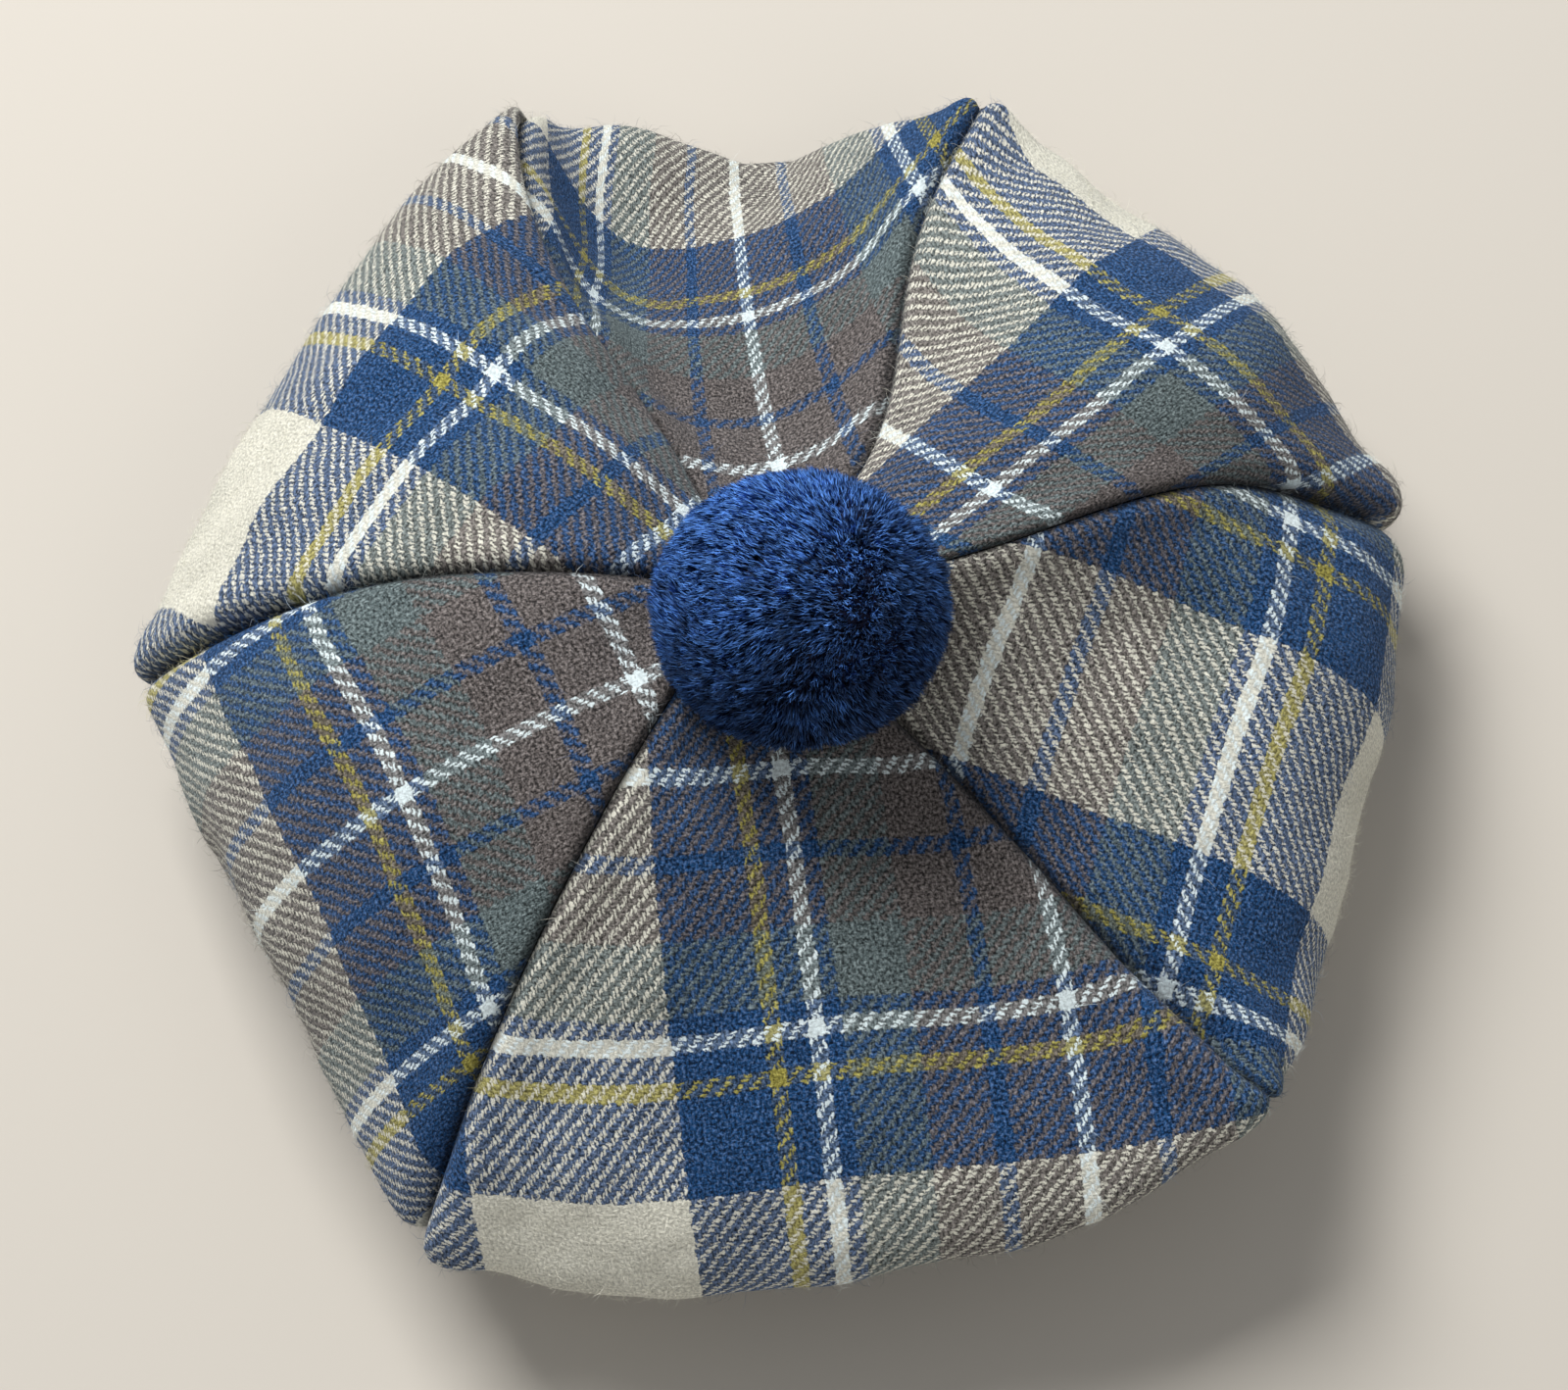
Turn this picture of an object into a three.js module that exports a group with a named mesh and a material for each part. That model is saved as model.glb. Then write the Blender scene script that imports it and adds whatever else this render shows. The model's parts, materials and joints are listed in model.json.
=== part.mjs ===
// A tam o' shanter: six cloth gores, a headband strip and a cut-pile pompom.
// Millimetres, +Z up, the front gore towards -Y, the headband's lower edge on z = 0.
import * as THREE from 'three';

const RAD = Math.PI / 180;

// ---- driving dimensions -------------------------------------------------------------
const CLOTH = 2.0;             // thickness of the gores' wool cloth
const SEAM_GAP = 0.5;          // air between neighbouring gores
const CROWN_TOP = 83;          // height of the crown's centre
const CENTRE_HOLE = 0.03;      // the gores stop this fraction of a rib from the centre
const BAND_RADIUS = 92;        // outer radius of the headband, for a head of about 56 cm
const BAND_HEIGHT = 28;
const BAND_THICK = 2.4;
const POMPOM = { wide: 61, deep: 57, high: 54, x: 11.5, y: -12, z: 101 };
const RIM_ROLL = 16;           // how far the rim's fold carries down before it turns under
const TOP_ROWS = 15;           // steps from the centre to the rim
const UNDER_ROWS = 8;          // steps from the rim to the headband
const COLUMNS = 12;            // steps across a gore

// ---- the six seams, counter-clockwise from the right ---------------------------------
// azimuth: degrees; reach: centre to the soft point; z: height of the point;
// full: 1 is a straight slope and 2 an ellipse; bow and sway: sideways curve of the seam;
// hump: rise half way along
const SEAMS = [
  { name: 'right', azimuth: 14.5, reach: 144, z: 38, full: 1.0, bow: -4, sway: -5, hump: 26 },
  { name: 'back_right', azimuth: 70, reach: 154, z: 39, full: 1.0, bow: -5, sway: -6, hump: -3 },
  { name: 'back_left', azimuth: 110, reach: 155, z: 34, full: 1.9, bow: 7, sway: -4, hump: -14 },
  { name: 'left', azimuth: 178, reach: 137, z: 35, full: 1.05, bow: -1.5, sway: 0.5, hump: 27 },
  { name: 'front_left', azimuth: 240, reach: 143, z: 38, full: 1.2, bow: 0, sway: 0, hump: 19 },
  { name: 'front_right', azimuth: 316, reach: 146, z: 53, full: 1.5, bow: 2.5, sway: 2, hump: -12 },
];

// ---- the six gores: each lies between its own seam and the next ------------------------
// turn: degrees that the middle line stands off the bisector; square: how boxy the gore is
// across, 2 being a parabola
const GORES = [
  { name: 'panel_back_right', turn: -4, reach: 141, z: 20, full: 3.4, bow: -2, hump: 0, square: 2.0 },
  { name: 'panel_back', turn: 3.5, reach: 146, z: 19, full: 1.1, bow: 2.5, hump: -5, square: 2.1 },
  { name: 'panel_back_left', turn: -2.5, reach: 128, z: 44, full: 2.3, bow: -2, hump: 7, square: 3.2 },
  { name: 'panel_front_left', turn: -4.5, reach: 121, z: 35, full: 2.65, bow: 1.5, hump: 13, square: 2.4 },
  { name: 'panel_front', turn: 0.5, reach: 135, z: 41, full: 1.6, bow: 1, hump: -3, square: 2.65 },
  { name: 'panel_front_right', turn: -3.5, reach: 131, z: 23, full: 2.9, bow: 1, hump: -11, square: 1.9 },
];

// ---- dents and folds ------------------------------------------------------------------
// across runs -1 to 1 and along 0 to 1 from the centre to the rim; wide and long are half
// widths in the same units; rise is upward and draw is away from the centre, in mm; lean
// turns the fold off the gore's middle line
const FOLDS = [
  { gore: 'panel_back', across: 0.68, along: 0.8, wide: 0.5, long: 0.22, rise: -12, draw: -6, lean: 0.14 },
  { gore: 'panel_back', across: 0.5, along: 0.97, wide: 0.34, long: 0.13, rise: 7, draw: 5, lean: 1.0 },
  { gore: 'panel_back', across: -0.2, along: 0.97, wide: 0.26, long: 0.14, rise: -4, draw: -4, lean: -0.4 },
  { gore: 'panel_front_right', across: 0.62, along: 1, wide: 0.36, long: 0.28, rise: 2, draw: 6, lean: 0 },
  { gore: 'panel_front_right', across: 0.5, along: 0.58, wide: 0.26, long: 0.16, rise: -4, draw: 0, lean: -0.8 },
];

// ---- ribs: the curves that a gore hangs between ----------------------------------------

// resample a polyline at given fractions of its length
function atFractions(points, fractions) {
  const lengths = [0];
  for (let i = 1; i < points.length; i++) {
    lengths.push(lengths[i - 1] + points[i].distanceTo(points[i - 1]));
  }
  const total = lengths[lengths.length - 1];
  let j = 1;
  return fractions.map((f) => {
    while (j < points.length - 1 && lengths[j] < f * total) j++;
    const w = (f * total - lengths[j - 1]) / (lengths[j] - lengths[j - 1]);
    return points[j - 1].clone().lerp(points[j], w);
  });
}

// round the corners of a polyline whose ends stay put
function soften(points, passes) {
  let p = points;
  for (let n = 0; n < passes; n++) {
    p = p.map((q, i) => (i === 0 || i === p.length - 1
      ? q
      : q.clone().multiplyScalar(2).add(p[i - 1]).add(p[i + 1]).multiplyScalar(0.25)));
  }
  return p;
}

// one rib: a superellipse from the crown's centre to the rim, then a Bezier underneath
function rib(row, azimuth) {
  const c = Math.cos(azimuth * RAD);
  const s = Math.sin(azimuth * RAD);
  const place = (r, side, z) => new THREE.Vector3(r * c - side * s, r * s + side * c, z);
  const points = [];
  const steps = 60;
  for (let i = 0; i <= steps; i++) {
    const a = (Math.PI / 2) * (i / steps);
    const x = Math.sin(a) ** (2 / row.full);
    const side = row.bow * 4 * x * (1 - x) + (row.sway ?? 0) * Math.sin(2 * Math.PI * x);
    const fall = Math.max(Math.cos(a), 0) ** (2 / row.full);
    const z = row.z + (CROWN_TOP - row.z) * fall + row.hump * 4 * x * (1 - x);
    points.push(place(row.reach * x, side, z));
  }
  const inner = BAND_RADIUS - BAND_THICK;
  const low = BAND_HEIGHT + 0.5;
  const curve = new THREE.CubicBezierCurve3(
    place(row.reach, 0, row.z),
    place(row.reach, 0, row.z - RIM_ROLL),
    place(inner + 24, 0, low),
    place(inner, 0, low),
  );
  points.push(...curve.getPoints(40).slice(1));
  const count = 130;
  const even = atFractions(points, Array.from({ length: count + 1 }, (_, i) => i / count));
  const soft = soften(even, 6);
  // the rim is the point that stands furthest out
  let rim = 0;
  soft.forEach((q, i) => {
    if (Math.hypot(q.x, q.y) > Math.hypot(soft[rim].x, soft[rim].y)) rim = i;
  });
  return { top: soft.slice(0, rim + 1), under: soft.slice(rim) };
}

// ---- the gores' outer surface -----------------------------------------------------------

// row stations: 0 at the crown's centre, 1 at the rim, 2 at the headband
const topStations = Array.from({ length: TOP_ROWS + 1 }, (_, j) => (
  CENTRE_HOLE + (1 - CENTRE_HOLE) * (j / TOP_ROWS)));
const underStations = Array.from({ length: UNDER_ROWS }, (_, j) => (j + 1) / UNDER_ROWS);
const ROWS = [...topStations, ...underStations.map((f) => 1 + f)];

const onStations = (r) => [...atFractions(r.top, topStations), ...atFractions(r.under, underStations)];
const seamRibs = SEAMS.map((row) => onStations(rib(row, row.azimuth)));
const nextOf = (k) => (k + 1) % SEAMS.length;
const azimuthAfter = (k) => SEAMS[nextOf(k)].azimuth + (nextOf(k) === 0 ? 360 : 0);
const midRibs = GORES.map((row, k) => (
  onStations(rib(row, (SEAMS[k].azimuth + azimuthAfter(k)) / 2 + row.turn))));

// move p by all the folds of one gore: they end at the seams and just under the rim
function addFolds(p, name, s, t) {
  const reach = Math.hypot(p.x, p.y);
  const fade = (1 - s ** 6) * (t > 1 ? Math.max(0, 1 - 4 * (t - 1)) : 1);
  for (const f of FOLDS) {
    if (f.gore !== name) continue;
    const across = (s - f.across - f.lean * (t - f.along)) / f.wide;
    const along = (t - f.along) / f.long;
    const w = fade * Math.exp(-across * across - along * along);
    p.z += f.rise * w;
    p.x += (p.x / reach) * f.draw * w;
    p.y += (p.y / reach) * f.draw * w;
  }
}

// point of gore k at s across (-1 on its own seam, 1 on the next) and row j
function outerPoint(k, s, j) {
  const t = ROWS[j];
  const a = seamRibs[k][j];
  const b = seamRibs[nextOf(k)][j];
  const m = midRibs[k][j];
  const bulge = 1 - Math.abs(s) ** GORES[k].square;
  const mix = (f) => {
    const chord = f(a) * (1 - s) / 2 + f(b) * (1 + s) / 2;
    return chord + (f(m) - (f(a) + f(b)) / 2) * bulge;
  };
  const p = new THREE.Vector3(mix((q) => q.x), mix((q) => q.y), mix((q) => q.z));
  if (t > 1) {
    // the underside turns from the six-sided rim into the round head opening
    const w = (t - 1) * (t - 1) * (5 - 2 * t);
    const angle = (SEAMS[k].azimuth * (1 - s) / 2 + azimuthAfter(k) * (1 + s) / 2) * RAD;
    const radius = mix((q) => Math.hypot(q.x, q.y));
    p.x += (radius * Math.cos(angle) - p.x) * w;
    p.y += (radius * Math.sin(angle) - p.y) * w;
  }
  addFolds(p, GORES[k].name, s, t);
  return p;
}

// columns stand closer together at the seams
const acrossOf = (i) => {
  const x = -1 + 2 * (i / COLUMNS);
  return 0.75 * x + 0.25 * Math.sin((Math.PI / 2) * x);
};

// outward direction of gore k at s and row j, by small steps to both sides
function outward(k, s, j) {
  const step = 0.04;
  const j0 = Math.max(j - 1, 0);
  const j1 = Math.min(j + 1, ROWS.length - 1);
  const along = outerPoint(k, s, j1).sub(outerPoint(k, s, j0));
  const s0 = Math.max(s - step, -1);
  const s1 = Math.min(s + step, 1);
  const across = outerPoint(k, s1, j).sub(outerPoint(k, s0, j));
  return along.cross(across).normalize();
}

// each seam row has a wall that both gores keep clear of: a point, the outward direction that
// they share, and the direction across the seam, counter-clockwise
const seamWalls = SEAMS.map((_, k) => ROWS.map((__, j) => {
  const before = (k + SEAMS.length - 1) % SEAMS.length;
  const normal = outward(k, -1, j).add(outward(before, 1, j)).normalize();
  const ahead = seamRibs[k][Math.min(j + 1, ROWS.length - 1)];
  const along = ahead.clone().sub(seamRibs[k][Math.max(j - 1, 0)]);
  return { at: seamRibs[k][j], normal, across: normal.clone().cross(along).normalize() };
}));

// move p straight away from the wall until it is half the gap on its own side
function keepClear(p, wall, side) {
  const d = p.clone().sub(wall.at).dot(wall.across) * side;
  if (d < SEAM_GAP / 2) p.addScaledVector(wall.across, side * (SEAM_GAP / 2 - d));
}

// ---- closed meshes ------------------------------------------------------------------------

function meshOf(name, positions, index, look) {
  const geometry = new THREE.BufferGeometry();
  geometry.setAttribute('position', new THREE.Float32BufferAttribute(positions, 3));
  geometry.setIndex(index);
  geometry.computeVertexNormals();
  const mesh = new THREE.Mesh(geometry, new THREE.MeshStandardMaterial(look));
  mesh.name = name;
  return mesh;
}

// one gore: an outer and an inner skin, CLOTH apart, joined along all four edges
function gore(k) {
  const rows = ROWS.length;
  const cols = COLUMNS + 1;
  const positions = [];
  const skins = [0, CLOTH];
  for (const depth of skins) {
    for (let j = 0; j < rows; j++) {
      for (let i = 0; i < cols; i++) {
        const s = acrossOf(i);
        const wall = s < 0 ? seamWalls[k][j] : seamWalls[nextOf(k)][j];
        const p = outerPoint(k, s, j);
        const n = outward(k, s, j).lerp(wall.normal, Math.abs(s) ** 6).normalize();
        p.addScaledVector(n, -depth);
        keepClear(p, wall, s < 0 ? 1 : -1);
        positions.push(p.x, p.y, p.z);
      }
    }
  }
  const at = (skin, j, i) => (skin * rows + j) * cols + i;
  const index = [];
  const quad = (a, b, c, d) => index.push(a, b, c, a, c, d);
  for (let j = 0; j < rows - 1; j++) {
    for (let i = 0; i < cols - 1; i++) {
      quad(at(0, j, i), at(0, j + 1, i), at(0, j + 1, i + 1), at(0, j, i + 1));
      quad(at(1, j, i), at(1, j, i + 1), at(1, j + 1, i + 1), at(1, j + 1, i));
    }
    quad(at(0, j, 0), at(1, j, 0), at(1, j + 1, 0), at(0, j + 1, 0));
    quad(at(0, j, cols - 1), at(0, j + 1, cols - 1), at(1, j + 1, cols - 1), at(1, j, cols - 1));
  }
  for (let i = 0; i < cols - 1; i++) {
    quad(at(0, 0, i), at(0, 0, i + 1), at(1, 0, i + 1), at(1, 0, i));
    const e = rows - 1;
    quad(at(0, e, i), at(1, e, i), at(1, e, i + 1), at(0, e, i + 1));
  }
  return meshOf(GORES[k].name, positions, index, { color: 0x6f7d92, roughness: 0.95, metalness: 0 });
}

// the headband: a strip on edge, bent to a ring, with eased corners
function headband() {
  const segments = 60;
  const e = 0.5;
  const inner = BAND_RADIUS - BAND_THICK;
  const section = [
    [inner + e, 0], [BAND_RADIUS - e, 0], [BAND_RADIUS, e], [BAND_RADIUS, BAND_HEIGHT - e],
    [BAND_RADIUS - e, BAND_HEIGHT], [inner + e, BAND_HEIGHT], [inner, BAND_HEIGHT - e], [inner, e],
  ];
  const n = section.length;
  const positions = [];
  for (let g = 0; g < segments; g++) {
    const a = (2 * Math.PI * g) / segments;
    for (const [r, z] of section) positions.push(r * Math.cos(a), r * Math.sin(a), z);
  }
  const index = [];
  for (let g = 0; g < segments; g++) {
    const h = (g + 1) % segments;
    for (let i = 0; i < n; i++) {
      const m = (i + 1) % n;
      index.push(g * n + i, h * n + i, h * n + m, g * n + i, h * n + m, g * n + m);
    }
  }
  return meshOf('headband', positions, index, { color: 0x68748a, roughness: 0.95, metalness: 0 });
}

// the pompom: a ball a little wider than high, its underside lying on the crown
function pompom(gores) {
  const around = 40;
  const rings = 20;
  const ray = new THREE.Raycaster();
  const down = new THREE.Vector3(0, 0, -1);
  const positions = [];
  // height of the cloth there, felt at five points so that no ray slips through a seam
  const rest = (x, y, z) => {
    let cloth = 0;
    for (const [dx, dy] of [[0, 0], [2.5, 0], [-2.5, 0], [0, 2.5], [0, -2.5]]) {
      ray.set(new THREE.Vector3(x + dx, y + dy, 200), down);
      const hits = ray.intersectObjects(gores, false);
      if (hits.length) cloth = Math.max(cloth, hits[0].point.z);
    }
    return Math.max(z, cloth + 1.8);
  };
  const push = (lat, lon) => {
    const x = POMPOM.x + (POMPOM.wide / 2) * Math.cos(lat) * Math.cos(lon);
    const y = POMPOM.y + (POMPOM.deep / 2) * Math.cos(lat) * Math.sin(lon);
    const z = POMPOM.z + (POMPOM.high / 2) * Math.sin(lat);
    positions.push(x, y, lat < 0 ? rest(x, y, z) : z);
  };
  for (let j = 1; j < rings; j++) {
    for (let i = 0; i < around; i++) push(Math.PI * (j / rings - 0.5), (2 * Math.PI * i) / around);
  }
  const south = positions.length / 3;
  push(-Math.PI / 2, 0);
  const north = south + 1;
  push(Math.PI / 2, 0);
  const index = [];
  for (let i = 0; i < around; i++) {
    const h = (i + 1) % around;
    for (let j = 0; j < rings - 2; j++) {
      const a = j * around + i;
      const b = j * around + h;
      index.push(a, b, b + around, a, b + around, a + around);
    }
    const last = (rings - 2) * around;
    index.push(south, h, i, north, last + i, last + h);
  }
  return meshOf('pompom', positions, index, { color: 0x2a4d9b, roughness: 0.9, metalness: 0 });
}

// ---- the whole hat, centred over the middle of its outline ------------------------------------
const group = new THREE.Group();
group.name = 'tam_o_shanter';
const gores = GORES.map((_, k) => gore(k));
gores.forEach((m) => m.updateMatrixWorld());
group.add(...gores, headband(), pompom(gores));
const box = new THREE.Box3().setFromObject(group);
const middle = box.getCenter(new THREE.Vector3());
group.children.forEach((m) => m.geometry.translate(-middle.x, -middle.y, 0));

export default group;
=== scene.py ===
# %% [markdown]
# # A tam o' shanter of six checked gores
# The cap is six pieces of brushed wool twill, sewn together from the crown's centre out to
# six soft points and back under to a round headband, with a cut-pile pompom over the place
# where the seams meet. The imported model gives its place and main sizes, and this lesson
# puts finer cloth, seams, weave and pile round it.

import json
import math

import bpy
import numpy as np
from mathutils import Matrix, Vector

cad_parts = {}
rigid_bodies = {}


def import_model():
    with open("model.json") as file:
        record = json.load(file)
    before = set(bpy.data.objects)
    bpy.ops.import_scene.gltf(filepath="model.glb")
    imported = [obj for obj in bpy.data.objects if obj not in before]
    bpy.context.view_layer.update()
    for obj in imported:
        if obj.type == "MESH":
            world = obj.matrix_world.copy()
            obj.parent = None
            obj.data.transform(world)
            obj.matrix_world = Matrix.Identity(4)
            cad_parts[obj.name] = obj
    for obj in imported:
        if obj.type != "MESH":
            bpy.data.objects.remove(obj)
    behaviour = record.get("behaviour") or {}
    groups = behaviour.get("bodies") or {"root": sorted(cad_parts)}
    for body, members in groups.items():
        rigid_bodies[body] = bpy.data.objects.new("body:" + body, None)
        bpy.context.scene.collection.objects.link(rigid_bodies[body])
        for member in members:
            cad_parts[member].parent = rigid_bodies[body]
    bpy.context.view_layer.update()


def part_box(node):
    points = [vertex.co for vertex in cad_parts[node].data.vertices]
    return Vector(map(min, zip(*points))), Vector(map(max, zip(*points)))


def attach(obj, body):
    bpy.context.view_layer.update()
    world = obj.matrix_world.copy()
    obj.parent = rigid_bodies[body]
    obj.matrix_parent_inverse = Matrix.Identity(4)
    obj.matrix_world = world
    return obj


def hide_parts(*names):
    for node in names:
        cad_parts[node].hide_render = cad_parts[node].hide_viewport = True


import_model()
band_low, band_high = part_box("headband")
pompom_low, pompom_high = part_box("pompom")
MM = 0.001
axis = np.array([(band_low.x + band_high.x) / 2, (band_low.y + band_high.y) / 2, 0.0]) / MM
print("axis of the headband, mm:", axis.round(2))

# %% [markdown]
# ## Sizes
# Everything is worked out in millimetres round the headband's axis, and only the finished
# meshes are in metres. A gore hangs between three ribs: its own seam, its middle line and the
# next seam. Each rib is a row of a table, so that a maker could change one fold by hand.

# %% Driving sizes and tables
CLOTH = 1.9            # thickness of the wool cloth
CROWN_TOP = 83.0       # height of the crown's centre
CENTRE_HOLE = 0.012    # the gores stop this fraction of a rib from the centre
BAND_RADIUS = (band_high.x - band_low.x) / 2 / MM
BAND_HEIGHT = band_high.z / MM
BAND_THICK = 2.4
RIM_ROLL = 16.0        # how far the rim's fold carries down before it turns under
SEAM_GAP = 0.3         # air between two gores at the foot of a seam

# azimuth in degrees, reach and height of the soft point, fullness of the slope (1 straight,
# 2 an ellipse), sideways bow and sway, and rise half way along
SEAM_COLUMNS = ("azimuth", "reach", "z", "full", "bow", "sway", "hump")
SEAMS = {
    "right": (14.5, 144, 38, 1.0, -4, -5, 26),
    "back_right": (70, 154, 39, 1.0, -5, -6, -3),
    "back_left": (110, 155, 34, 1.9, 7, -4, -14),
    "left": (178, 137, 35, 1.05, -1.5, 0.5, 27),
    "front_left": (240, 143, 38, 1.2, 0, 0, 19),
    "front_right": (316, 146, 53, 1.5, 2.5, 2, -12),
}

# degrees that the middle line stands off the bisector, then as above, and how boxy the gore
# is across (2 is a parabola); each gore starts at the seam of the same place in SEAMS
GORE_COLUMNS = ("turn", "reach", "z", "full", "bow", "hump", "square")
GORES = {
    "panel_back_right": (-4, 141, 20, 3.4, -2, 0, 2.0),
    "panel_back": (3.5, 146, 19, 1.1, 2.5, -5, 2.1),
    "panel_back_left": (-2.5, 128, 44, 2.3, -2, 7, 3.2),
    "panel_front_left": (-4.5, 121, 35, 2.65, 1.5, 13, 2.4),
    "panel_front": (0.5, 135, 41, 1.6, 1, -3, 2.65),
    "panel_front_right": (-3.5, 131, 23, 2.9, 1, -11, 1.9),
}
SEAM_ROWS = [dict(zip(SEAM_COLUMNS, row)) for row in SEAMS.values()]
GORE_ROWS = [dict(zip(GORE_COLUMNS, row)) for row in GORES.values()]

# %% [markdown]
# ## One rib
# A real gore's edge leaves the crown, falls to a soft point, rolls under and comes back to
# the headband. The fall is a superellipse, which has one number for fullness, and the roll is
# a Bezier curve. Repeated averaging rounds the corner between them, as thick cloth would.

# %% Rib function
FINE = 4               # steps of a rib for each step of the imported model's rib


def at_fractions(points, fractions):
    """Points of a polyline at the given fractions of its own length."""
    steps = np.linalg.norm(np.diff(points, axis=0), axis=1)
    length = np.concatenate([[0.0], np.cumsum(steps)])
    wanted = fractions * length[-1]
    return np.stack([np.interp(wanted, length, points[:, i]) for i in range(3)], axis=1)


def soften(points, passes):
    """Each inner point becomes a quarter of its neighbours' sum plus half of itself."""
    points = points.copy()
    for _ in range(passes):
        points[1:-1] = (2 * points[1:-1] + points[:-2] + points[2:]) / 4
    return points


def rib(azimuth, row):
    """r = reach sin^(2/full), z = low + (top - low) cos^(2/full) + hump 4x(1-x), then a
    Bezier curve from the rim in to the headband. Returns the part above and the part below
    the point that stands furthest out."""
    turn = np.linspace(0, math.pi / 2, 60 * FINE + 1)
    x = np.sin(turn) ** (2 / row["full"])
    side = row["bow"] * 4 * x * (1 - x) + row.get("sway", 0) * np.sin(2 * math.pi * x)
    fall = np.maximum(np.cos(turn), 0) ** (2 / row["full"])
    height = row["z"] + (CROWN_TOP - row["z"]) * fall + row["hump"] * 4 * x * (1 - x)
    slope = np.stack([row["reach"] * x, side, height], axis=1)
    inner = BAND_RADIUS - BAND_THICK
    low = BAND_HEIGHT + 0.5
    t = np.linspace(0, 1, 40 * FINE + 1)[1:, None]
    rim = np.array([row["reach"], 0, row["z"]], float)
    roll = np.array([row["reach"], 0, row["z"] - RIM_ROLL], float)
    under = np.array([inner + 24, 0, low])
    end = np.array([inner, 0, low])
    curve = (1 - t) ** 3 * rim + 3 * (1 - t) ** 2 * t * roll + 3 * (1 - t) * t**2 * under + t**3 * end
    path = np.concatenate([slope, curve])
    c, s = math.cos(math.radians(azimuth)), math.sin(math.radians(azimuth))
    path = path @ np.array([[c, s, 0], [-s, c, 0], [0, 0, 1]])
    path = at_fractions(path, np.linspace(0, 1, 130 * FINE + 1))
    path = soften(path, 6 * FINE * FINE)
    rim_at = int(np.hypot(path[:, 0], path[:, 1]).argmax())
    return path[: rim_at + 1], path[rim_at:]


# %% [markdown]
# ## Rows and columns
# Every gore is one grid: rows run from the crown's centre over the rim to the headband, and
# columns from its own seam to the next. Columns crowd towards the seams, where the cloth
# turns down into a groove and needs more points.

# %% Stations along and across
TOP_ROWS = 132
UNDER_ROWS = 44
COLUMNS = 100
top_at = CENTRE_HOLE + (1 - CENTRE_HOLE) * np.linspace(0, 1, TOP_ROWS + 1)
under_at = np.arange(1, UNDER_ROWS + 1) / UNDER_ROWS
along_at = np.concatenate([top_at, 1 + under_at])[:, None]
even = np.linspace(-1, 1, COLUMNS + 1)
across_at = (0.5 * even + 0.5 * np.sin(math.pi / 2 * even))[None, :]


def on_stations(azimuth, row):
    """A rib's points at the rows of the grid."""
    top, under = rib(azimuth, row)
    return np.concatenate([at_fractions(top, top_at), at_fractions(under, under_at)])


seam_ribs = [on_stations(row["azimuth"], row) for row in SEAM_ROWS]
print("seam lengths to the rim, mm:", [
    round(float(np.linalg.norm(np.diff(r[: TOP_ROWS + 1], axis=0), axis=1).sum())) for r in seam_ribs
])

# %% [markdown]
# ## One gore
# Between its ribs a gore is a chord from seam to seam plus a bulge that reaches the middle
# rib. Underneath, the six-sided rim has to become the round head opening, so the angle and
# the radius are mixed in instead. Two gores have folds of their own, where slack cloth falls
# or swells between two points; each is a Gaussian dent or rise with a lean.

# %% Gore surface
FOLD_COLUMNS = ("gore", "across", "along", "wide", "long", "rise", "draw", "lean")
FOLDS = [dict(zip(FOLD_COLUMNS, row)) for row in (
    ("panel_back", 0.68, 0.80, 0.50, 0.22, -12, -6, 0.14),
    ("panel_back", 0.50, 0.97, 0.34, 0.13, 7, 5, 1.0),
    ("panel_back", -0.20, 0.97, 0.26, 0.14, -4, -4, -0.4),
    ("panel_front_right", 0.62, 1.00, 0.36, 0.28, 2, 6, 0.0),
    ("panel_front_right", 0.50, 0.58, 0.26, 0.16, -4, 0, -0.8),
)]


def gore_surface(name):
    """P = chord + (middle rib - middle of chord) (1 - |s|^square), turned into polar
    coordinates below the rim, plus the gore's folds."""
    k = list(GORES).index(name)
    row = GORE_ROWS[k]
    first = SEAM_ROWS[k]["azimuth"]
    last = SEAM_ROWS[(k + 1) % 6]["azimuth"] + (360 if k == 5 else 0)
    a = seam_ribs[k][:, None]
    b = seam_ribs[(k + 1) % 6][:, None]
    m = on_stations((first + last) / 2 + row["turn"], row)[:, None]
    s = across_at[..., None]
    bulge = 1 - np.abs(s) ** row["square"]
    p = a * (1 - s) / 2 + b * (1 + s) / 2 + (m - (a + b) / 2) * bulge
    below = np.maximum(along_at - 1, 0)
    w = below**2 * (3 - 2 * below)
    angle = np.radians(first * (1 - across_at) / 2 + last * (1 + across_at) / 2)
    ra, rb, rm = (np.hypot(q[..., 0], q[..., 1]) for q in (a, b, m))
    radius = ra * (1 - across_at) / 2 + rb * (1 + across_at) / 2 + (rm - (ra + rb) / 2) * bulge[..., 0]
    p[..., 0] += (radius * np.cos(angle) - p[..., 0]) * w
    p[..., 1] += (radius * np.sin(angle) - p[..., 1]) * w
    reach = np.hypot(p[..., 0], p[..., 1])
    fade = (1 - across_at**6) * np.where(along_at > 1, np.maximum(0, 1 - 4 * (along_at - 1)), 1)
    for f in FOLDS:
        if f["gore"] == name:
            off = (across_at - f["across"] - f["lean"] * (along_at - f["along"])) / f["wide"]
            on = (along_at - f["along"]) / f["long"]
            dent = fade * np.exp(-(off**2) - on**2)
            p[..., 2] += f["rise"] * dent
            p[..., :2] += p[..., :2] / reach[..., None] * (f["draw"] * dent)[..., None]
    return p


surfaces = [gore_surface(name) for name in GORES]
print("gore grids:", len(surfaces), surfaces[0].shape)

# %% [markdown]
# ## Where each thread lies
# The check has to bend with the cloth, so each gore is laid flat: its middle line straight,
# every row's arc length kept across, and the edges' own length kept along. A gore is cut
# from the check at its own place and angle. The table gives both, with small terms for how
# far the wool has been pulled off its square since.

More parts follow.
